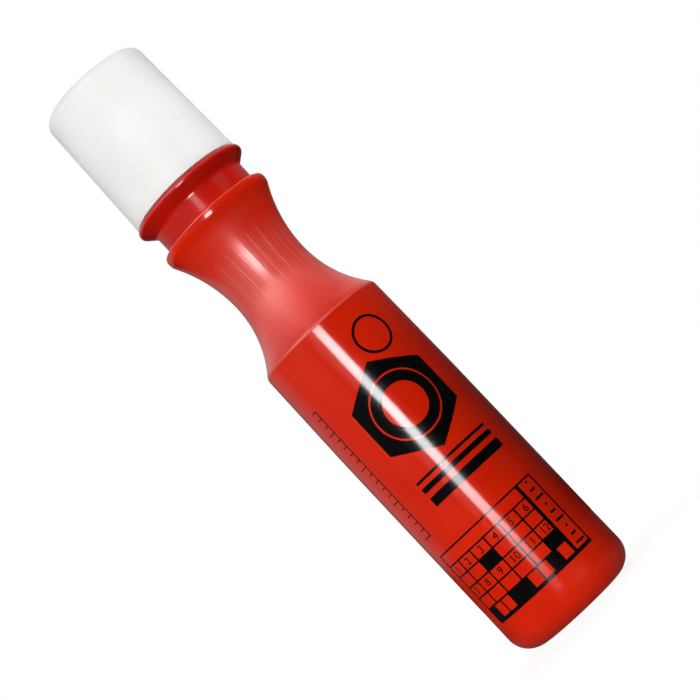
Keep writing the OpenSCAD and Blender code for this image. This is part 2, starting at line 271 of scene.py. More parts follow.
# Bottle: the solid's curves in finer steps, a mould line on both sides, and drawing lines on the waist
rim_r = cap_r + rim_out
mouth_r = rim_r - mouth_wall
shoulder_r = body_r - shoulder_in
foot_ro = body_r - base_round
foot_ri = foot_ro - foot_w
low_cx = waist_r + waist_arc_low
up_cx = waist_r + waist_arc_up
waist_z = rim_z - rim_h - leg(waist_arc_up, waist_arc_up - rim_r + waist_r)
shoulder_cz = waist_z - leg(waist_arc_low + shoulder_round, low_cx - shoulder_r + shoulder_round)
inner_shoulder_z = waist_z - leg(waist_arc_low + wall, low_cx - shoulder_r + wall)
band_cz = waist_z + leg(waist_arc_up + rim_round, up_cx - rim_r + rim_round)
ledge_r = mouth_r - ledge_w
ledge_z = waist_z + leg(waist_arc_up + wall, up_cx - ledge_r)
plug_bead_z = (ledge_z + rim_z) / 2

mould_line_h = 0.06
seam_h = 0.35
seam_fade = 3.0
waviness = 0.012
wave_length = 22.0
# Drawing lines: how many, how high, what their side columns have of that, how far they fade at their ends,
# and between which heights they start and end
draw_line_count = 24
draw_line_h = (0.015, 0.045)
draw_line_side_share = 0.55
draw_line_fade = 7.0
draw_line_start = (shoulder_cz + 4, waist_z + 2)
draw_line_end = (waist_z + 9, rim_z - 1)
draw_line_seed = 11
# Plainer drawing lines: degrees to the right of the front and height, and where they start and end
front_lines = ((15, 0.05), (29, 0.11), (-22, 0.07), (-38, 0.07), (-9, 0.02), (3, 0.02))
front_line_reach = (waist_z - 8, waist_z + 14)
front_angle = 270

rng = random.Random(draw_line_seed)
draw_lines = {}
for _ in range(draw_line_count):
    draw_lines[rng.randrange(BOTTLE_COLUMNS)] = (
        rng.uniform(*draw_line_h),
        rng.uniform(*draw_line_start),
        rng.uniform(*draw_line_end),
    )
for angle, height in front_lines:
    front_column = round((front_angle + angle) / 360 * BOTTLE_COLUMNS)
    draw_lines[front_column] = (height, *front_line_reach)


def body_radius(z):
    """Outside radius of the body at a height below the shoulder."""
    taper = max(0.0, (z - straight_z) / (shoulder_cz - straight_z))
    return body_r - shoulder_in * min(1.0, taper)


def bottle_relief(column, r, z):
    """Slight waviness all over, the mould line with the seam across the base, and the drawing lines."""
    angle = 2 * pi * column / BOTTLE_COLUMNS
    lift = waviness * noise.noise(Vector((r * cos(angle), r * sin(angle), z)) / wave_length)
    if column % (BOTTLE_COLUMNS // 2) == 0:
        in_recess = 1 - smooth_step(foot_ri - seam_fade, foot_ri, r)
        on_base = z < base_round and r < foot_ro
        lift += seam_h * in_recess if on_base else mould_line_h
    for beside, share in ((0, 1.0), (-1, draw_line_side_share), (1, draw_line_side_share)):
        if column + beside in draw_lines:
            height, start, end = draw_lines[column + beside]
            rise = smooth_step(start, start + draw_line_fade, z)
            lift += share * height * rise * (1 - smooth_step(end - draw_line_fade, end, z))
    return lift


def make_bottle():
    low_a = degrees(atan2(waist_z - shoulder_cz, low_cx - shoulder_r + shoulder_round))
    up_a = degrees(atan2(band_cz - waist_z, up_cx - rim_r + rim_round))
    inner_low_a = degrees(asin((waist_z - inner_shoulder_z) / (waist_arc_low + wall)))
    inner_up_a = degrees(asin((ledge_z - waist_z) / (waist_arc_up + wall)))
    recess_r = dome_r(foot_ri, recess_h)
    floor_z = recess_h + floor_t
    floor_r = dome_r(foot_ro, floor_z - wall)
    recess_a = degrees(acos(foot_ri / recess_r))
    floor_a = degrees(acos(foot_ro / floor_r))
    body_ri = body_r - wall
    outside = (
        arc(0, recess_h - recess_r, recess_r, 90, recess_a, RECESS_SPACING)
        + arc(foot_ro, base_round, base_round, -90, 0)
        + line((body_r, base_round), (body_r, straight_z), BODY_STEP)[1:]
        + line((body_r, straight_z), (shoulder_r, shoulder_cz), BODY_STEP)[1:-1]
        + arc(shoulder_r - shoulder_round, shoulder_cz, shoulder_round, 0, low_a, SHOULDER_SPACING)
        + arc(low_cx, waist_z, waist_arc_low, 180 + low_a, 180)[1:]
        + arc(up_cx, waist_z, waist_arc_up, 180, 180 - up_a)[1:]
        + arc(rim_r - rim_round, band_cz, rim_round, -up_a, 0, BAND_SPACING)[1:]
        + arc(rim_r - rim_edge, rim_z - rim_edge, rim_edge, 0, 90, ROUND_SPACING)
    )
    inside = (
        [(mouth_r + chamfer, rim_z), (mouth_r, rim_z - chamfer)]
        + bead(mouth_r, plug_bead_z, plug_bead, plug_bead_w)[::-1]
        + [(mouth_r, ledge_z)]
        + arc(up_cx, waist_z, waist_arc_up + wall, 180 - inner_up_a, 180, INNER_WAIST_SPACING)
        + arc(low_cx, waist_z, waist_arc_low + wall, 180, 180 + inner_low_a, INNER_WAIST_SPACING)[1:]
        + line((body_ri, straight_z), (body_ri, base_round), INNER_STEP)
        + arc(foot_ro, base_round, base_round - wall, 0, -90, INNER_FOOT_SPACING)[1:]
        + arc(0, floor_z - floor_r, floor_r, floor_a, 90, FLOOR_SPACING)
    )
    return lathe("bottle_shell", outside, inside, BOTTLE_COLUMNS, bottle_relief)


# Tip plug: collar, flange and the ring for the cap, with every outer corner eased
collar_r = mouth_r - seat_clear
collar_ri = collar_r - plug_wall
flange_z = spigot_z - spigot_h
cap_ri = cap_r - cap_wall
spigot_r = cap_ri - cap_clear - bead_h
spigot_ri = spigot_r - spigot_wall
deck_z = flange_z - deck_t
deck_bore_r = ferrule_r - ferrule_wall
plug_z = ledge_z + face_gap
nose_drop = flange_round * (1 + sin(radians(nose_turn)))
slope_z = flange_z - nose_drop - slope_h
cap_bead_z = flange_z + spigot_h / 2
crease_round = 1.5


def make_plug():
    skirt_r = up_cx - leg(waist_arc_up + wall, skirt_z - waist_z) - skirt_gap
    skirt_ri = skirt_r - plug_wall
    nose_r = flange_r - flange_round * (1 - cos(radians(nose_turn)))
    crease_turn = 90 - degrees(atan2(slope_h, nose_r - collar_r))
    crease_z = slope_z - crease_round * tan(radians(crease_turn / 2))
    outside = (
        [(skirt_ri, skirt_z), (skirt_r - chamfer, skirt_z), (skirt_r, skirt_z + chamfer)]
        + [(skirt_r, plug_z), (collar_r - chamfer, plug_z), (collar_r, plug_z + chamfer)]
        + bead(collar_r, plug_bead_z, plug_bead, plug_bead_w)
        + line((collar_r, plug_bead_z + plug_bead_w / 2), (collar_r, crease_z), COLLAR_STEP)[1:-1]
        + arc(collar_r + crease_round, crease_z, crease_round, 180, 180 - crease_turn, ROUND_SPACING)
        + arc(flange_r - flange_round, flange_z - flange_round, flange_round, -nose_turn, 90, ROUND_SPACING)
        + [(spigot_r + edge / 2, flange_z), (spigot_r, flange_z + edge / 2)]
        + bead(spigot_r, cap_bead_z, bead_h, cap_bead_w)
        + [(spigot_r, spigot_z - lead_in)]
        + arc(spigot_r - 2 * edge, spigot_z - edge, edge, lead_turn, 90, EDGE_SPACING)
        + arc(spigot_ri + edge, spigot_z - edge, edge, 90, 180, EDGE_SPACING)
    )
    inside = [
        (spigot_ri, flange_z + edge), (spigot_ri - edge, flange_z),
        (deck_bore_r, flange_z), (deck_bore_r, deck_z), (collar_ri, deck_z),
        (collar_ri, plug_z + plug_wall), (skirt_ri, plug_z + plug_wall),
    ]
    return lathe("plug_collar", outside, inside, SHELL_COLUMNS)


# Cap: tapered shell with an eased lip, and a small gate mark in the middle of its end
def make_cap():
    top_r = cap_r - cap_taper
    top_ri = top_r - cap_wall
    ceiling_z = cap_top_z - cap_top_t
    boss_ri = inner_cap_r + seat_clear
    boss_r = boss_ri + boss_wall
    bore_z = spigot_z + lead_in
    outside = (
        arc(cap_ri + lip_round, cap_z + lip_round, lip_round, 180, 270, EDGE_SPACING)
        + arc(cap_r - lip_round, cap_z + lip_round, lip_round, 270, 360, EDGE_SPACING)
        + line((cap_r, cap_z + lip_round), (top_r, cap_top_z - cap_round), BODY_STEP)[1:-1]
        + arc(top_r - cap_round, cap_top_z - cap_round, cap_round, 0, 90, CAP_SPACING)
        + line((top_r - cap_round, cap_top_z), (gate_r, cap_top_z), BODY_STEP)[1:]
        + [(gate_r - 2 * gate_depth, cap_top_z - gate_depth), (gate_nub_r, cap_top_z - gate_depth)]
        + [(gate_nub_r / 2, cap_top_z - gate_depth / 3), (0, cap_top_z - gate_depth / 3)]
    )
    inside = [
        (0, ceiling_z), (boss_ri, ceiling_z),
        (boss_ri, ceiling_z - boss_h + edge), (boss_ri + edge, ceiling_z - boss_h),
        (boss_r - edge, ceiling_z - boss_h), (boss_r, ceiling_z - boss_h + edge),
        (boss_r, ceiling_z), (top_ri - chamfer, ceiling_z), (top_ri, ceiling_z - chamfer),
        (cap_ri, bore_z), (cap_ri, cap_z + 2 * edge),
    ]
    return lathe("cap_shell", outside, inside, SHELL_COLUMNS)


# Ferrule: turned sleeve with a crimp groove and a conical nose
def make_ferrule():
    ferrule_ri = ferrule_r - ferrule_wall
    lip_r = nib_r + lip_clear
    nose_a = degrees(atan2(ferrule_r - lip_r - nose_w, ferrule_top_z - tower_z))
    crimp_z = ferrule_z + (tower_z - ferrule_z) / 3
    in_z = tower_z + face_gap
    outside = (
        [(ferrule_ri, ferrule_z), (ferrule_r - edge / 2, ferrule_z), (ferrule_r, ferrule_z + edge / 2)]
        + bead(ferrule_r, crimp_z, -crimp, crimp_w)
        + arc(ferrule_r - edge, tower_z - edge, edge, 0, nose_a, FERRULE_SPACING)
        + arc(lip_r + nose_w - edge, ferrule_top_z - edge, edge, nose_a, 90, FERRULE_SPACING)
        + arc(lip_r + edge, ferrule_top_z - edge, edge, 90, 180, FERRULE_SPACING)
    )
    inside = [(lip_r, in_z), (ferrule_ri, in_z)]
    return lathe("ferrule_sleeve", outside, inside, SMALL_COLUMNS)


# Nib: felt rod whose free end is slightly frayed, never past the solid's surface
fray = 0.09
fray_width = 0.7
fray_stretch = 3
fray_from = ferrule_top_z - 1
fray_full = ferrule_top_z + 2


def nib_relief(column, r, z):
    """Pits between the fibres, which grow from the ferrule's nose to the free end."""
    angle = 2 * pi * column / SMALL_COLUMNS
    place = Vector((r * cos(angle), r * sin(angle), z / fray_stretch)) / fray_width
    free = smooth_step(fray_from, fray_full, z)
    return -fray * free * (0.5 + 0.5 * noise.noise(place))


def make_nib():
    shank_z = nib_tip_z - nib_end_h
    turns = [pi / 2 * i / NIB_END_STEPS for i in range(NIB_END_STEPS)]
    outside = (
        [(0, nib_z), (nib_r - chamfer, nib_z), (nib_r, nib_z + chamfer)]
        + line((nib_r, nib_z + chamfer), (nib_r, shank_z), NIB_STEP)[1:-1]
        + [(nib_r * cos(turn), shank_z + nib_end_h * sin(turn)) for turn in turns]
    )
    return lathe("nib_tip", outside, [(0, nib_tip_z)], SMALL_COLUMNS, nib_relief)


# Spring: round wire on the solid's coil, as it stands at rest
spring_low = cage_z + cage_floor_t + face_gap
spring_high = disc_z + hub_h - face_gap
wire_sides = 14
turn_steps = 40


def wire_z(turns):
    """Height of the wire's middle after a number of turns: closed end turns, even pitch between."""
    low = spring_low + wire_r
    high = spring_high - wire_r
    closed = 2 * wire_r + end_gap
    pitch = (high - low - 2 * closed) / (spring_turns - 2)
    if turns < 1:
        return low + closed * turns
    if turns > spring_turns - 1:
        return high - closed * (spring_turns - turns)
    return low + closed + pitch * (turns - 1)


def make_spring():
    verts = []
    faces = []
    rings = spring_turns * turn_steps
    for i in range(rings + 1):
        turn = 2 * pi * i / turn_steps
        for k in range(wire_sides):
            side = 2 * pi * k / wire_sides
            r = (spring_r + wire_r * cos(side)) * MM
            z = (wire_z(i / turn_steps) + wire_r * sin(side)) * MM
            verts.append((r * cos(turn), r * sin(turn), z))
    for i in range(rings):
        for k in range(wire_sides):
            a = i * wire_sides + k
            b = i * wire_sides + (k + 1) % wire_sides
            faces.append((b, a, a + wire_sides, b + wire_sides))
    faces.append(tuple(range(wire_sides)))
    faces.append(tuple(rings * wire_sides + k for k in reversed(range(wire_sides))))
    return make_piece("spring_coil", verts, faces)


# Print: a thin film of ink on the body, drawn flat as (u, v), where u runs round the body to the right
# of the front's middle and v is the height above the base
ink_h = 0.05
ink_sink = 0.1
ink_step = 0.7
polar_steps = 120
number_curve_steps = 3
KEY_DIGITS = 4


def film(name, shapes):
    """A closed film of ink from flat shapes, each a list of points and a list of faces."""
    index = {}
    flat = []
    faces = []
    for points, corners in shapes:
        places = []
        for u, v in points:
            key = (round(u, KEY_DIGITS), round(v, KEY_DIGITS))
            if key not in index:
                index[key] = len(flat)
                flat.append((u, v))
            places.append(index[key])
        for corner in corners:
            face = [places[c] for c in corner]
            face = [c for i, c in enumerate(face) if c != face[i - 1]]
            if len(face) > 2:
                faces.append(face)
    used = {(face[i - 1], b): True for face in faces for i, b in enumerate(face)}
    verts = []
    for lift in (ink_h, -ink_sink):
        for u, v in flat:
            r = (body_radius(v) + lift) * MM
            angle = u / body_r
            verts.append((r * sin(angle), -r * cos(angle), v * MM))
    under = len(flat)
    sides = [(b, a, a + under, b + under) for a, b in used if (b, a) not in used]
    bottoms = [[c + under for c in reversed(face)] for face in faces]
    return make_piece(name, verts, faces + sides + bottoms)


def refined(edges, step):
    """Edges in order, with more between them where they are further apart than a step."""
    edges = sorted(edges)
    found = []
    for a, b in zip(edges, edges[1:]):
        count = ceil((b - a) / step)
        found += [a + (b - a) * i / count for i in range(count)]
    return found + edges[-1:]


def boxes_shape(boxes):
    """Flat faces of the union of upright boxes (u0, v0, u1, v1)."""
    us = refined({round(b[i], KEY_DIGITS) for b in boxes for i in (0, 2)}, ink_step)
    vs = sorted({round(b[i], KEY_DIGITS) for b in boxes for i in (1, 3)})
    points = []
    faces = []
    for u0, u1 in zip(us, us[1:]):
        for v0, v1 in zip(vs, vs[1:]):
            u = (u0 + u1) / 2
            v = (v0 + v1) / 2
            if any(b[0] < u < b[2] and b[1] < v < b[3] for b in boxes):
                n = len(points)
                points += [(u0, v0), (u1, v0), (u1, v1), (u0, v1)]
                faces.append((n, n + 1, n + 2, n + 3))
    return points, faces


def polar_shape(cu, cv, inner_at, outer_at):
    """Flat faces between two closed outlines round a place, each a radius by angle in degrees."""
    angles = [360 * i / polar_steps for i in range(polar_steps)]
    layers = ceil(max(outer_at(a) - inner_at(a) for a in angles) / ink_step)
    points = []
    faces = []
    for i, a in enumerate(angles):
        inner = inner_at(a)
        outer = outer_at(a)
        n = (i + 1) % polar_steps
        for j in range(layers + 1):
            r = inner + (outer - inner) * j / layers
            points.append((cu + r * cos(radians(a)), cv + r * sin(radians(a))))
        for j in range(layers):
            here = i * (layers + 1) + j
            there = n * (layers + 1) + j
            faces.append((here, here + 1, there + 1, there))
    return points, faces


def ring_shape(cu, cv, outer, width):
    """Flat faces of a plain ring."""
    return polar_shape(cu, cv, lambda angle: outer - width, lambda angle: outer)


def number_shape(number, size, cu, cv):
    """Flat faces of a plain number, centred on a place."""
    curve = bpy.data.curves.new("number", "FONT")
    curve.body = str(number)
    curve.size = size
    curve.align_x = "CENTER"
    curve.align_y = "CENTER"
    curve.resolution_u = number_curve_steps
    writer = bpy.data.objects.new("number", curve)
    bpy.context.scene.collection.objects.link(writer)
    evaluated = writer.evaluated_get(bpy.context.evaluated_depsgraph_get())
    mesh = evaluated.to_mesh()
    points = [(cu + v.co.x, cv + v.co.y) for v in mesh.vertices]
    faces = [tuple(p.vertices) for p in mesh.polygons]
    evaluated.to_mesh_clear()
    bpy.data.objects.remove(writer)
    bpy.data.curves.remove(curve)
    return points, faces


def round_the_body(angle):
    """Distance round the body from the front's middle, to the right."""
    return body_r * radians(angle)


# Ring near the shoulder
ring_u = round_the_body(29)
ring_v = 72.3
ring_outer = 4.55
ring_line = 0.58

# Solid hexagon with an open circle and a thin open ring, and three bars below it that get thicker
nut_u = 2.6
nut_v = 56.6
nut_corner = 11.9
nut_hole_r = 5.0
nut_ring_r = 7.4
nut_ring_line = 0.45
nut_side_turn = 60
bars_v = (42.6, 40.6, 37.6)
bars_h = (0.6, 1.2, 2.2)


def hexagon(angle):
    """Radius of the hexagon, which stands on a corner, at an angle in degrees."""
    half = nut_side_turn / 2
    from_flat = (angle + half) % nut_side_turn - half
    return nut_corner * cos(radians(half)) / cos(radians(from_flat))


def nut_shapes():
    """Flat faces inside and outside the hexagon's thin open ring."""
    inside = ring_shape(nut_u, nut_v, nut_ring_r, nut_ring_r - nut_hole_r)
    outside = polar_shape(nut_u, nut_v, lambda angle: nut_ring_r + nut_ring_line, hexagon)
    return [inside, outside]


def bar_boxes():
    """Boxes of the three bars, as broad as the hexagon from flat to flat."""
    half = nut_corner * cos(radians(nut_side_turn / 2))
    return [(nut_u - half, v - h / 2, nut_u + half, v + h / 2) for v, h in zip(bars_v, bars_h)]


# Ruler on the left of the hexagon: a thin line with ticks
ruler_u = round_the_body(-53)
ruler_low = 33.0
ruler_high = 69.0
ruler_line = 0.3
tick_pitch = 2.0
tick_long = 2.6
tick_short = 1.4
ticks_to_long = 5


def ruler_boxes():
    """Boxes of the ruler's line and of its ticks."""
    boxes = [(ruler_u, ruler_low, ruler_u + ruler_line, ruler_high)]
    count = round((ruler_high - ruler_low) / tick_pitch)
    for i in range(count + 1):
        v = ruler_low + i * (ruler_high - ruler_low - ruler_line) / count
        length = tick_long if i % ticks_to_long == 0 else tick_short
        boxes.append((ruler_u - length, v, ruler_u, v + ruler_line))
    return boxes


# Table near the base: numbered cells, a column of dashes and some filled cells
table = (round_the_body(-64.5), 9.4, round_the_body(44.5), 28.6)
table_line = 0.38
table_heavy = 0.85
side_column = 4.3
number_size = 2.5
number_columns = 6
number_rows = 2
number_drop = 0.27
strip_h = 3.2
filled_cells = ((2, 0), (5, 1))
strip_cells = 9
strip_filled = (0, 3, 4, 7)
dash_count = 9
dash_h = 0.5
dash_insets = (0.9, 1.4, 1.9)


def table_parts():
    """Boxes and numbers of the table."""
    left, low, right, high = table
    inner_right = right - side_column
    half = table_line / 2
    boxes = [
        (left, low, right, low + table_line),
        (left, high - table_line, right, high),
        (left, low, left + table_line, high),
        (right - table_line, low, right, high),
        (inner_right - table_heavy, low, inner_right, high),
        (left, low, right, low + table_heavy),
    ]
    first = low + table_heavy + strip_h
    last = high - strip_h
    cell_w = (inner_right - left) / number_columns
    cell_h = (last - first) / number_rows
    for i in range(2 * number_rows + 1):
        v = last - i * cell_h / 2
        boxes.append((left, v - half, inner_right, v + half))
    numbers = []
    for row in range(number_rows):
        v = last - row * cell_h
        for column in range(number_columns):
            u = left + column * cell_w
            boxes.append((u - half if column else u, first, u + half, last))
            if (column, row) in filled_cells:
                boxes.append((u, v - cell_h, u + cell_w, v - cell_h / 2))
            number = 1 + column + row * number_columns
            numbers.append((number, u + cell_w / 2, v - cell_h * number_drop))
    strip_w = (inner_right - table_heavy - left) / strip_cells
    for i in range(strip_cells):
        u = left + i * strip_w
        boxes.append((u - half if i else u, low, u + half, first))
        if i in strip_filled:
            boxes.append((u, low, u + strip_w, first))
    pitch = (high - low - table_heavy) / dash_count
    for i in range(dash_count):
        v = low + table_heavy + (i + 0.5) * pitch
        inset = dash_insets[i % len(dash_insets)]
        boxes.append((inner_right + inset, v - dash_h / 2, right - inset, v + dash_h / 2))
    return boxes, numbers


# Materials. The noise textures here keep mostly within this range.
NOISE_RANGE = (0.3, 0.7)
NOISE_DETAIL = 3.0


def srgb(red, green, blue):
    """A colour written as 0 to 255, as Blender's linear values."""
    values = []
    for part in (red, green, blue):
        share = part / 255
        values.append(share / 12.92 if share <= 0.04045 else ((share + 0.055) / 1.055) ** 2.4)
    return (*values, 1.0)


class Nodes:
    """A node tree and the few steps that materials and the room are made from."""

    def __init__(self, tree):
        self.tree = tree

    def give(self, socket, value):
        """Links a socket to another one, or sets its value."""
        if isinstance(value, bpy.types.NodeSocket):
            self.tree.links.new(value, socket)
        else:
            socket.default_value = value

    def node(self, kind, **sockets):
        """A node with its sockets linked or set."""
        made = self.tree.nodes.new(kind)
        for name, value in sockets.items():
            self.give(made.inputs[name.replace("_", " ")], value)
        return made

    def filled(self, kind, *values):
        """A node with its first sockets linked or set."""
        made = self.tree.nodes.new(kind)
        for socket, value in zip(made.inputs, values):
            self.give(socket, value)
        return made

    def math(self, name, a, b=0.0):
        """Result of a math node."""
        made = self.filled("ShaderNodeMath", a, b)
        made.operation = name
        return made.outputs["Value"]

    def vector(self, name, *values):
        """Outputs of a vector math node."""
        made = self.filled("ShaderNodeVectorMath", *values)
        made.operation = name
        return made.outputs

    def times(self, first, *others):
        """Product of several values."""
        for other in others:
            first = self.math("MULTIPLY", first, other)
        return first

    def between(self, value, from_low, from_high, to_low, to_high):
        """Maps a value smoothly from one range to another."""
        made = self.filled("ShaderNodeMapRange", value, from_low, from_high, to_low, to_high)
        made.interpolation_type = "SMOOTHSTEP"
        return made.outputs["Result"]

    def ramp(self, value, *stops):
        """Colour along a value, from stops of (place, colour)."""
        made = self.node("ShaderNodeValToRGB", Fac=value)
        elements = made.color_ramp.elements
        while len(elements) > 1:
            elements.remove(elements[-1])
        elements[0].position, elements[0].color = stops[0]
        for place, colour in stops[1:]:
            elements.new(place).color = colour
        return made.outputs["Color"]

    def levels(self, value, stops):
        """Grey along a value, from stops of (place, level)."""
        return self.ramp(value, *((place, (level, level, level, 1)) for place, level in stops))


class Finish(Nodes):
    """A material on the principled shader, placed by its piece's own coordinates."""

    def __init__(self, name):
        self.material = bpy.data.materials.new(name)
        self.material.use_nodes = True
        super().__init__(self.material.node_tree)
        self.shader = self.tree.nodes["Principled BSDF"]
        self.place = self.node("ShaderNodeTexCoord").outputs["Object"]

    def set(self, **values):
        """Links or sets the shader's own sockets."""
        for name, value in values.items():
            self.give(self.shader.inputs[name.replace("_", " ")], value)

    def texture(self, place, detail):
        """Noise by a place that is already to scale."""
        return self.node("ShaderNodeTexNoise", Vector=place, Scale=1.0, Detail=detail).outputs["Fac"]

    def noise(self, size, stretch=1.0, detail=NOISE_DETAIL):
        """Noise with features of a size in millimetres, drawn out along Z by a stretch."""
        scale = 1 / (size * MM)
        mapping = self.node("ShaderNodeMapping", Vector=self.place, Scale=(scale, scale, scale / stretch))
        return self.texture(mapping.outputs["Vector"], detail)

    def streaks(self, width, length, detail):
        """Noise in streaks along the marker, of a width and a length in millimetres at the waist."""
        flat = self.vector("MULTIPLY", self.place, (1, 1, 0))["Vector"]
        around = self.vector("NORMALIZE", flat)["Vector"]
        parts = self.node("ShaderNodeSeparateXYZ", Vector=around).outputs
        across = waist_r / width
        place = self.node(
            "ShaderNodeCombineXYZ",
            X=self.times(parts["X"], across),
            Y=self.times(parts["Y"], across),
            Z=self.math("DIVIDE", self.height(), length),
        )
        return self.texture(place.outputs["Vector"], detail)

    def height(self):
        """Height along the marker's axis, in millimetres."""
        parts = self.node("ShaderNodeSeparateXYZ", Vector=self.place).outputs
        return self.times(parts["Z"], 1 / MM)

    def colours(self, value, *stops):
        """Base colour along a value, from stops of (place, colour)."""
        self.set(Base_Color=self.ramp(value, *stops))

    def mixed_colours(self, share, first, second):
        """Base colour between a first colour and a second one, by a share."""
        made = self.node("ShaderNodeMix")
        made.data_type = "RGBA"
        ends = [socket for socket in made.inputs if socket.type == "RGBA"]
        for socket, value in zip((made.inputs[0], *ends), (share, first, second)):
            self.give(socket, value)
        self.set(Base_Color=next(socket for socket in made.outputs if socket.type == "RGBA"))

    def grain(self, size, low, high, detail=NOISE_DETAIL):
        """Roughness between two values, by a noise of a size in millimetres."""
        value = self.noise(size, detail=detail)
        self.set(Roughness=self.between(value, *NOISE_RANGE, low, high))

    def bump(self, value, depth):
        """Fine relief of a depth in millimetres."""
        made = self.node("ShaderNodeBump", Height=value, Distance=depth * MM)
        self.set(Normal=made.outputs["Normal"])

    def mirrored_glow(self, value, level):
        """Emission that follows a value and shows in first reflections only, so no stray dots arise."""
        depth = self.node("ShaderNodeLightPath").outputs["Ray Depth"]
        first = self.between(depth, 1, 2, 1, 0)
        self.set(Base_Color=(0, 0, 0, 1), Specular_IOR_Level=0.0, Emission_Strength=level)
        self.set(Emission_Color=self.times(value, first))


# Bottle's red: fine streaks along the marker and soft clouds
STREAK_WIDTH = 0.7
STREAK_LENGTH = 40
STREAK_SHARE = 0.2
CLOUD_SIZE = 14
# The waist is paler, partly from stress whitening of the stretched plastic and partly as a painted sheen of
# reflected light: how far, how much less or more in streaks, and between which heights that starts and ends
WHITENING_AND_SHEEN_SHARE = 0.1
WHITENING_AND_SHEEN_STREAKS = (0.6, 1.2)
WHITENING_AND_SHEEN_START = (waist_z - 7, waist_z - 1)
WHITENING_AND_SHEEN_END = (waist_z + 3, waist_z + 11)
# The waist is duller than the body and the rim: where that starts and ends, and what roughness is added
DULL_START = (shoulder_cz, shoulder_cz + 3)
DULL_END = (rim_z - 6, rim_z - 2.5)
BODY_ROUGHNESS = 0.1
DULL_ROUGHER = 0.1
STREAKS_ROUGHER = 0.03
GRAIN_ROUGHER = 0.03
GRAIN_SIZE = 2.2
DULL_COAT = 0.5


def red_bottle():
    finish = Finish("bottle_polyethylene")
    height = finish.height()
    streaks = finish.streaks(STREAK_WIDTH, STREAK_LENGTH, detail=1)
    clouds = finish.times(finish.noise(CLOUD_SIZE), 1 - STREAK_SHARE)
    mixed = finish.math("ADD", finish.times(streaks, STREAK_SHARE), clouds)
    red = finish.ramp(mixed, (0.35, srgb(209, 30, 3)), (0.65, srgb(219, 37, 6)))
    # Paler pink towards the waist: stress whitening plus a painted sheen that stands in for reflected light
    start = finish.between(height, *WHITENING_AND_SHEEN_START, 0, WHITENING_AND_SHEEN_SHARE)
    end = finish.between(height, *WHITENING_AND_SHEEN_END, 1, 0)
    paler_streaks = finish.between(streaks, 0.35, 0.65, *WHITENING_AND_SHEEN_STREAKS)
    finish.mixed_colours(finish.times(start, end, paler_streaks), red, srgb(240, 172, 162))
    dull = finish.times(finish.between(height, *DULL_START, 0, 1), finish.between(height, *DULL_END, 1, 0))
    grain = finish.between(finish.noise(GRAIN_SIZE), *NOISE_RANGE, 0, GRAIN_ROUGHER)
    gloss = finish.math("ADD", finish.times(dull, DULL_ROUGHER), grain)
    drawn = finish.times(dull, streaks, STREAKS_ROUGHER)
    finish.set(Roughness=finish.math("ADD", finish.math("ADD", gloss, drawn), BODY_ROUGHNESS))
    finish.bump(streaks, depth=0.003)
    finish.set(IOR=1.51, Coat_Weight=finish.times(dull, DULL_COAT), Coat_Roughness=0.5, Coat_IOR=1.5)
    return finish.material


def red_plug():
    finish = Finish("plug_polyethylene")
    finish.colours(finish.noise(size=9), (0.35, srgb(183, 16, 2)), (0.65, srgb(194, 21, 5)))
    finish.grain(size=1.6, low=0.12, high=0.17)
    finish.bump(finish.noise(size=0.8), depth=0.003)
    finish.set(IOR=1.45)
    return finish.material


def white_cap():
    finish = Finish("cap_polypropylene")
    finish.colours(finish.noise(size=11), (0.3, srgb(236, 236, 233)), (0.7, srgb(242, 242, 240)))
    finish.grain(size=1.2, low=0.46, high=0.58)
    finish.bump(finish.noise(size=0.35, detail=5), depth=0.008)
    finish.set(IOR=1.49)
    finish.set(Subsurface_Weight=0.3, Subsurface_Radius=(2 * MM, 2 * MM, 2 * MM), Subsurface_Scale=1.0)
    return finish.material


def black_ink():
    finish = Finish("screen_ink")
    finish.colours(finish.noise(size=0.6), (0.3, srgb(2, 2, 3)), (0.75, srgb(8, 7, 8)))
    finish.grain(size=0.5, low=0.12, high=0.18, detail=5)
    finish.bump(finish.noise(size=0.8), depth=0.002)
    finish.set(IOR=1.5)
    return finish.material


# Paint in the felt: between which heights it deepens, and how far it runs up and down along the fibres
SOAKED = (ferrule_top_z - 1, nib_tip_z - 1)
SOAK_RUN = 5


def felt():
    finish = Finish("pressed_felt")
    fibres = finish.noise(size=0.22, stretch=5, detail=6)
    soak = finish.times(finish.math("SUBTRACT", fibres, 0.5), SOAK_RUN)
    level = finish.math("ADD", finish.height(), soak)
    finish.colours(
        finish.between(level, *SOAKED, 0, 1),
        (0.25, srgb(222, 214, 198)),
        (0.55, srgb(205, 120, 104)),
        (0.9, srgb(178, 28, 18)),
    )
    finish.set(Roughness=finish.between(fibres, 0.2, 0.8, 0.8, 0.98))
    finish.bump(fibres, depth=0.12)
    finish.set(Sheen_Weight=0.25, Sheen_Roughness=0.6)
    return finish.material


def natural_plastic():
    finish = Finish("natural_polypropylene")
    finish.colours(finish.noise(size=4), (0.3, srgb(222, 221, 212)), (0.7, srgb(234, 233, 226)))
    finish.grain(size=1, low=0.34, high=0.5)
    finish.bump(finish.noise(size=0.5), depth=0.006)
    finish.set(Subsurface_Weight=0.15, Subsurface_Radius=(2 * MM, 2 * MM, 1.6 * MM))
    return finish.material


def turned_metal(name, dark, light, size, roughness, stretch=1):
    """Metal with fine tool marks that are drawn out along or round the axis."""
    finish = Finish(name)
    marks = finish.noise(size, stretch=stretch, detail=5)
    finish.colours(marks, (0.3, dark), (0.7, light))
    finish.set(Metallic=1.0, Roughness=finish.between(marks, 0.25, 0.75, *roughness))
    finish.bump(marks, depth=0.01)
    return finish.material


def seal_rubber():
    finish = Finish("seal_rubber")
    finish.colours(finish.noise(size=1.5), (0.3, srgb(30, 30, 31)), (0.7, srgb(44, 44, 45)))
    finish.grain(size=0.6, low=0.6, high=0.8)
    finish.bump(finish.noise(size=0.3), depth=0.01)
    return finish.material


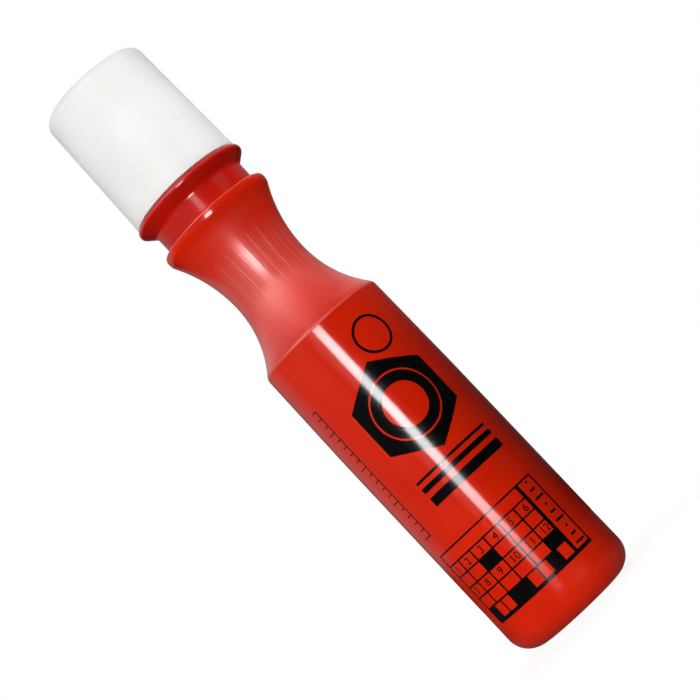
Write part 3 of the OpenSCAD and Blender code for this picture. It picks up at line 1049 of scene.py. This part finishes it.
finishes = {
    "bottle_red": red_bottle(),
    "plug_red": red_plug(),
    "cap_white": white_cap(),
    "print_black": black_ink(),
    "nib_felt": felt(),
    "natural_plastic": natural_plastic(),
    "ferrule_metal": turned_metal(
        "turned_aluminium", srgb(196, 198, 200), srgb(222, 223, 224),
        size=1.6, stretch=0.06, roughness=(0.29, 0.44),
    ),
    "spring_steel": turned_metal(
        "drawn_wire", srgb(160, 164, 168), srgb(190, 193, 196), size=0.5, roughness=(0.29, 0.38)
    ),
    "ball_steel": turned_metal(
        "polished_balls", srgb(172, 176, 180), srgb(196, 199, 202), size=1.2, roughness=(0.06, 0.16)
    ),
    "seal_rubber": seal_rubber(),
}


def dress(piece, body, slot, node=None):
    """Gives a piece its finish, its body and the node that it stands for."""
    piece.data.materials.clear()
    piece.data.materials.append(finishes[slot])
    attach(piece, body)
    if node:
        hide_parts(node)
    return piece


# Pieces that stand for a node
dress(make_bottle(), "bottle_group", "bottle_red", "bottle")
dress(make_plug(), "bottle_group", "plug_red", "tip_plug")
dress(make_ferrule(), "bottle_group", "ferrule_metal", "nib_ferrule")
dress(make_nib(), "nib_group", "nib_felt", "nib")
dress(make_cap(), "cap_group", "cap_white", "cap")
spring = dress(make_spring(), "bottle_group", "spring_steel", "valve_spring")
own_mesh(spring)

# Printed films on the body
table_boxes, table_numbers = table_parts()
prints = {
    "print_ring": [ring_shape(ring_u, ring_v, ring_outer, ring_line)],
    "print_nut": nut_shapes(),
    "print_bars": [boxes_shape(bar_boxes())],
    "print_ruler": [boxes_shape(ruler_boxes())],
    "print_table": [boxes_shape(table_boxes)],
    "print_numbers": [number_shape(number, number_size, u, v) for number, u, v in table_numbers],
}
for print_name, print_shapes in prints.items():
    dress(film(print_name, print_shapes), "bottle_group", "print_black")

# Nodes that show as they are
for entry in frame["record"]["subparts"]:
    node = frame["nodes"][entry["node"]]
    if not node.hide_render:
        node.data.materials.clear()
        node.data.materials.append(finishes[entry["material_slot"]])

# Camera, fitted to the photograph: it looks slightly up at the marker and is rolled to its slant
FRAME_PIXELS = 700
focal_pixels = 2017.0
sensor_mm = 36.0
camera_at = Vector((1.8, -436.1, 28.56)) * MM
pitch = radians(6.0)
roll = radians(43.33)
forward = Vector((0, cos(pitch), sin(pitch)))
upright = Vector((0, -sin(pitch), cos(pitch)))
sideways = Vector((1, 0, 0))
image_up = upright * cos(roll) + sideways * sin(roll)
image_right = sideways * cos(roll) - upright * sin(roll)
camera_data = bpy.data.cameras.new("camera")
camera_data.sensor_width = sensor_mm
camera_data.lens = sensor_mm * focal_pixels / FRAME_PIXELS
camera_data.clip_start = 0.01
camera = bpy.data.objects.new("camera", camera_data)
turn = Matrix((image_right, image_up, -forward)).transposed()
camera.matrix_world = Matrix.Translation(camera_at) @ turn.to_4x4()
bpy.context.scene.collection.objects.link(camera)
bpy.context.scene.camera = camera
bpy.context.scene.view_settings.view_transform = "Standard"

# Studio, in metres: a white floor, a soft room, soft boxes, and a card and a haze dome that only gloss sees
FLOOR_SIDE = 6.0
FLOOR_DROP = 0.00005
FLOOR_GRAIN = 300
FLOOR_ROUGHNESS = 0.9
# The floor's own grey, and how many times paler the camera sees it, so that it shows the marker's shadow
FLOOR_TONE = (0.045, 0.055)
FLOOR_SEEN = 4.0
# Glow of the white floor for the camera, near the marker and far off
WHITE_REACH = (0.03, 0.4)
WHITE_LEVELS = (0.86, 0.99)
# Pool of light painted on the floor round the base, which glows and lights the base from below: where it
# fades, its level, and the share that gloss sees of it
LIGHT_POOL_REACH = (0.02, 0.1)
LIGHT_POOL_GLOW = 0.34
LIGHT_POOL_MIRRORED = 0.12


def make_floor():
    """Dark for the light on the marker except a glowing pool round its base, and white with a faint shadow
    for the camera.
    """
    half = FLOOR_SIDE / 2
    corners = [(-half, -half, 0), (half, -half, 0), (half, half, 0), (-half, half, 0)]
    floor = make_piece("floor", corners, [(0, 1, 2, 3)])
    floor.location.z = -FLOOR_DROP
    finish = Finish("studio_floor")
    path = finish.node("ShaderNodeLightPath").outputs
    seen = path["Is Camera Ray"]
    tone = finish.between(finish.noise(FLOOR_GRAIN), *NOISE_RANGE, *FLOOR_TONE)
    finish.set(Base_Color=finish.times(tone, finish.between(seen, 0, 1, 1, FLOOR_SEEN)))
    finish.set(Roughness=FLOOR_ROUGHNESS, Specular_IOR_Level=0.0)
    distance = finish.vector("LENGTH", finish.place)["Value"]
    backdrop = finish.times(seen, finish.between(distance, *WHITE_REACH, *WHITE_LEVELS))
    # Painted pool of light: the floor glows round the base and lights it from below
    light_pool = finish.between(distance, *LIGHT_POOL_REACH, LIGHT_POOL_GLOW, 0)
    mirrored = finish.between(path["Is Glossy Ray"], 0, 1, 1, LIGHT_POOL_MIRRORED)
    glow = finish.math("MAXIMUM", backdrop, finish.times(light_pool, mirrored))
    finish.set(Emission_Color=(1, 1, 1, 1), Emission_Strength=glow)
    floor.data.materials.append(finish.material)


# Brightness of the room by direction: pale above and on the left, dark on the right and behind the camera
ROOM_LEVELS = (0.12, 0.5)
ROOM_RIGHT_SHARE = 0.2
ROOM_FRONT_SHARE = 0.3
# What gloss sees behind the marker, from low down to above, and on the left
BEHIND_LEVELS = (0.04, 0.6)
BEHIND_LEFT_LEVEL = 0.35
# Between which parts of a direction each of these changes
ROOM_RISE = (-0.05, 0.5)
ROOM_SIDES = (-0.8, 0.8)
ROOM_FRONT = (-0.9, 0.1)
BEHIND_START = (0.0, 0.4)
BEHIND_RISE = (0.1, 0.4)
BEHIND_LEFT = (-0.7, -0.1)


def make_world():
    """White for the camera, and for light a soft room that is paler on the left."""
    world = bpy.data.worlds.new("studio")
    world.use_nodes = True
    nodes = Nodes(world.node_tree)
    background = nodes.tree.nodes["Background"]
    place = nodes.node("ShaderNodeTexCoord").outputs["Generated"]
    parts = nodes.node("ShaderNodeSeparateXYZ", Vector=place).outputs
    path = nodes.node("ShaderNodeLightPath").outputs
    rise = nodes.between(parts["Z"], *ROOM_RISE, *ROOM_LEVELS)
    sides = nodes.between(parts["X"], *ROOM_SIDES, 1, ROOM_RIGHT_SHARE)
    front = nodes.between(parts["Y"], *ROOM_FRONT, ROOM_FRONT_SHARE, 1)
    above = nodes.between(parts["Z"], *BEHIND_RISE, *BEHIND_LEVELS)
    left = nodes.between(parts["X"], *BEHIND_LEFT, BEHIND_LEFT_LEVEL, 0)
    backward = nodes.between(parts["Y"], *BEHIND_START, 0, 1)
    behind = nodes.times(nodes.math("MAXIMUM", above, left), backward, path["Is Glossy Ray"])
    lit = nodes.math("MAXIMUM", nodes.times(rise, sides, front), behind)
    level = nodes.math("MAXIMUM", lit, path["Is Camera Ray"])
    nodes.give(background.inputs["Color"], (1, 1, 1, 1))
    nodes.give(background.inputs["Strength"], level)
    bpy.context.scene.world = world


def soft_box(name, place, target, size, power, beam, in_gloss=False):
    """A rectangular lamp that the camera doesn't see."""
    lamp = bpy.data.lights.new(name, "AREA")
    lamp.shape = "RECTANGLE"
    lamp.size, lamp.size_y = size
    lamp.energy = power
    lamp.spread = radians(beam)
    holder = bpy.data.objects.new(name, lamp)
    holder.location = place
    holder.rotation_mode = "QUATERNION"
    holder.rotation_quaternion = (Vector(target) - Vector(place)).to_track_quat("-Z", "Y")
    holder.visible_camera = False
    holder.visible_glossy = in_gloss
    bpy.context.scene.collection.objects.link(holder)


def show_to_gloss_only(piece):
    """Hides a piece of the studio from the camera, from shadows and from matt surfaces."""
    piece.visible_camera = False
    piece.visible_shadow = False
    piece.visible_diffuse = False


# Light card in front of the marker: its middle, its half width where it is full and where it ends, its
# heights, its level, and shares of that level at shares of its height
CARD_X = -0.013
CARD_Y = -0.316
CARD_FULL = 0.03
CARD_HALF = 0.044
CARD_LOW = 0.0005
CARD_HIGH = 0.21
CARD_LEVEL = 24.3
CARD_STOPS = (
    (0.0, 0.13), (0.35, 1.0), (0.57, 0.78), (0.68, 0.4), (0.76, 0.1),
    (0.85, 0.04), (0.89, 0.25), (0.95, 0.25), (1.0, 0.0),
)


def make_card():
    """Tall soft light that the bottle mirrors as a streak."""
    left = CARD_X - CARD_HALF
    right = CARD_X + CARD_HALF
    places = ((left, CARD_LOW), (right, CARD_LOW), (right, CARD_HIGH), (left, CARD_HIGH))
    card = make_piece("light_card", [(x, CARD_Y, z) for x, z in places], [(3, 2, 1, 0)])
    finish = Finish("light_card")
    parts = finish.node("ShaderNodeSeparateXYZ", Vector=finish.place).outputs
    over_low = finish.math("SUBTRACT", parts["Z"], CARD_LOW)
    fade = finish.levels(finish.math("DIVIDE", over_low, CARD_HIGH - CARD_LOW), CARD_STOPS)
    off_middle = finish.math("ABSOLUTE", finish.math("SUBTRACT", parts["X"], CARD_X))
    inward = finish.between(off_middle, CARD_FULL, CARD_HALF, 1, 0)
    finish.mirrored_glow(finish.times(fade, inward), CARD_LEVEL)
    card.data.materials.append(finish.material)
    show_to_gloss_only(card)


# Haze dome: part of a sphere round the marker, brightest in front on the left, with its levels at shares of
# its elevations and azimuths
HAZE_Z = 0.1
HAZE_RADIUS = 0.5
HAZE_LEVEL = 4.2
HAZE_AZIMUTHS = (-150, 110)
HAZE_ELEVATIONS = (17.5, 86)
HAZE_RISE = (
    (0.0, 0.0), (0.02, 0.7), (0.08, 1.2), (0.18, 1.15), (0.3, 0.92), (0.43, 0.6), (0.7, 0.3), (1.0, 0.2),
)
HAZE_ROUND = (
    (0.0, 0.12), (0.22, 0.24), (0.34, 0.5), (0.46, 1.0), (0.58, 0.76), (0.72, 0.32), (1.0, 0.14),
)
HAZE_STEP = 5


def make_haze():
    """Soft light that follows the dome's shares of azimuth and elevation, which its UV map carries."""
    around = refined(HAZE_AZIMUTHS, HAZE_STEP)
    upward = refined(HAZE_ELEVATIONS, HAZE_STEP)
    verts = []
    shares = []
    for i, azimuth in enumerate(around):
        for j, elevation in enumerate(upward):
            a = radians(azimuth)
            e = radians(elevation)
            out = HAZE_RADIUS * cos(e)
            verts.append((out * sin(a), -out * cos(a), HAZE_Z + HAZE_RADIUS * sin(e)))
            shares.append((i / (len(around) - 1), j / (len(upward) - 1)))
    rows = len(upward)
    starts = [i * rows + j for i in range(len(around) - 1) for j in range(rows - 1)]
    faces = [(n, n + 1, n + rows + 1, n + rows) for n in starts]
    dome = make_piece("haze_dome", verts, faces)
    layer = dome.data.uv_layers.new(name="shares")
    for corner in dome.data.loops:
        layer.data[corner.index].uv = shares[corner.vertex_index]
    finish = Finish("haze_dome")
    uv_map = finish.node("ShaderNodeUVMap").outputs["UV"]
    share = finish.node("ShaderNodeSeparateXYZ", Vector=uv_map).outputs
    by_height = finish.levels(share["Y"], HAZE_RISE)
    by_side = finish.levels(share["X"], HAZE_ROUND)
    finish.mirrored_glow(finish.times(by_height, by_side), HAZE_LEVEL)
    dome.data.materials.append(finish.material)
    show_to_gloss_only(dome)


# Soft boxes: place, target, size, power in watts, beam in degrees, and whether gloss sees it
SOFT_BOXES = {
    "key_box": ((-0.085, -0.305, 0.09), (0, 0, 0.085), (0.09, 0.13), 0.59, 180),
    "left_box": ((-0.27, -0.25, 0.14), (0, 0, 0.09), (0.2, 0.2), 0.34, 180),
    "cap_left_box": ((-0.065, -0.03, 0.146), (0, 0, 0.142), (0.03, 0.04), 0.0006, 70),
    "cap_right_box": ((0.065, -0.035, 0.152), (0, 0, 0.143), (0.03, 0.04), 0.0055, 70),
    "waist_box": ((0.16, -0.01, 0.2), (0.01, -0.006, 0.092), (0.03, 0.03), 0.006, 26),
    "foot_box": ((0.03, -0.05, 0.003), (0.008, -0.012, 0.003), (0.03, 0.004), 0.003, 180),
    "back_box": ((0.02, 0.4, 0.12), (0, 0, 0.08), (0.1, 0.25), 0.9, 180),
    "top_box": ((0.02, 0.15, 0.42), (0, 0, 0.14), (0.15, 0.15), 0.5, 180, True),
}

make_floor()
make_world()
make_card()
make_haze()
for box_name, settings in SOFT_BOXES.items():
    soft_box(box_name, *settings)
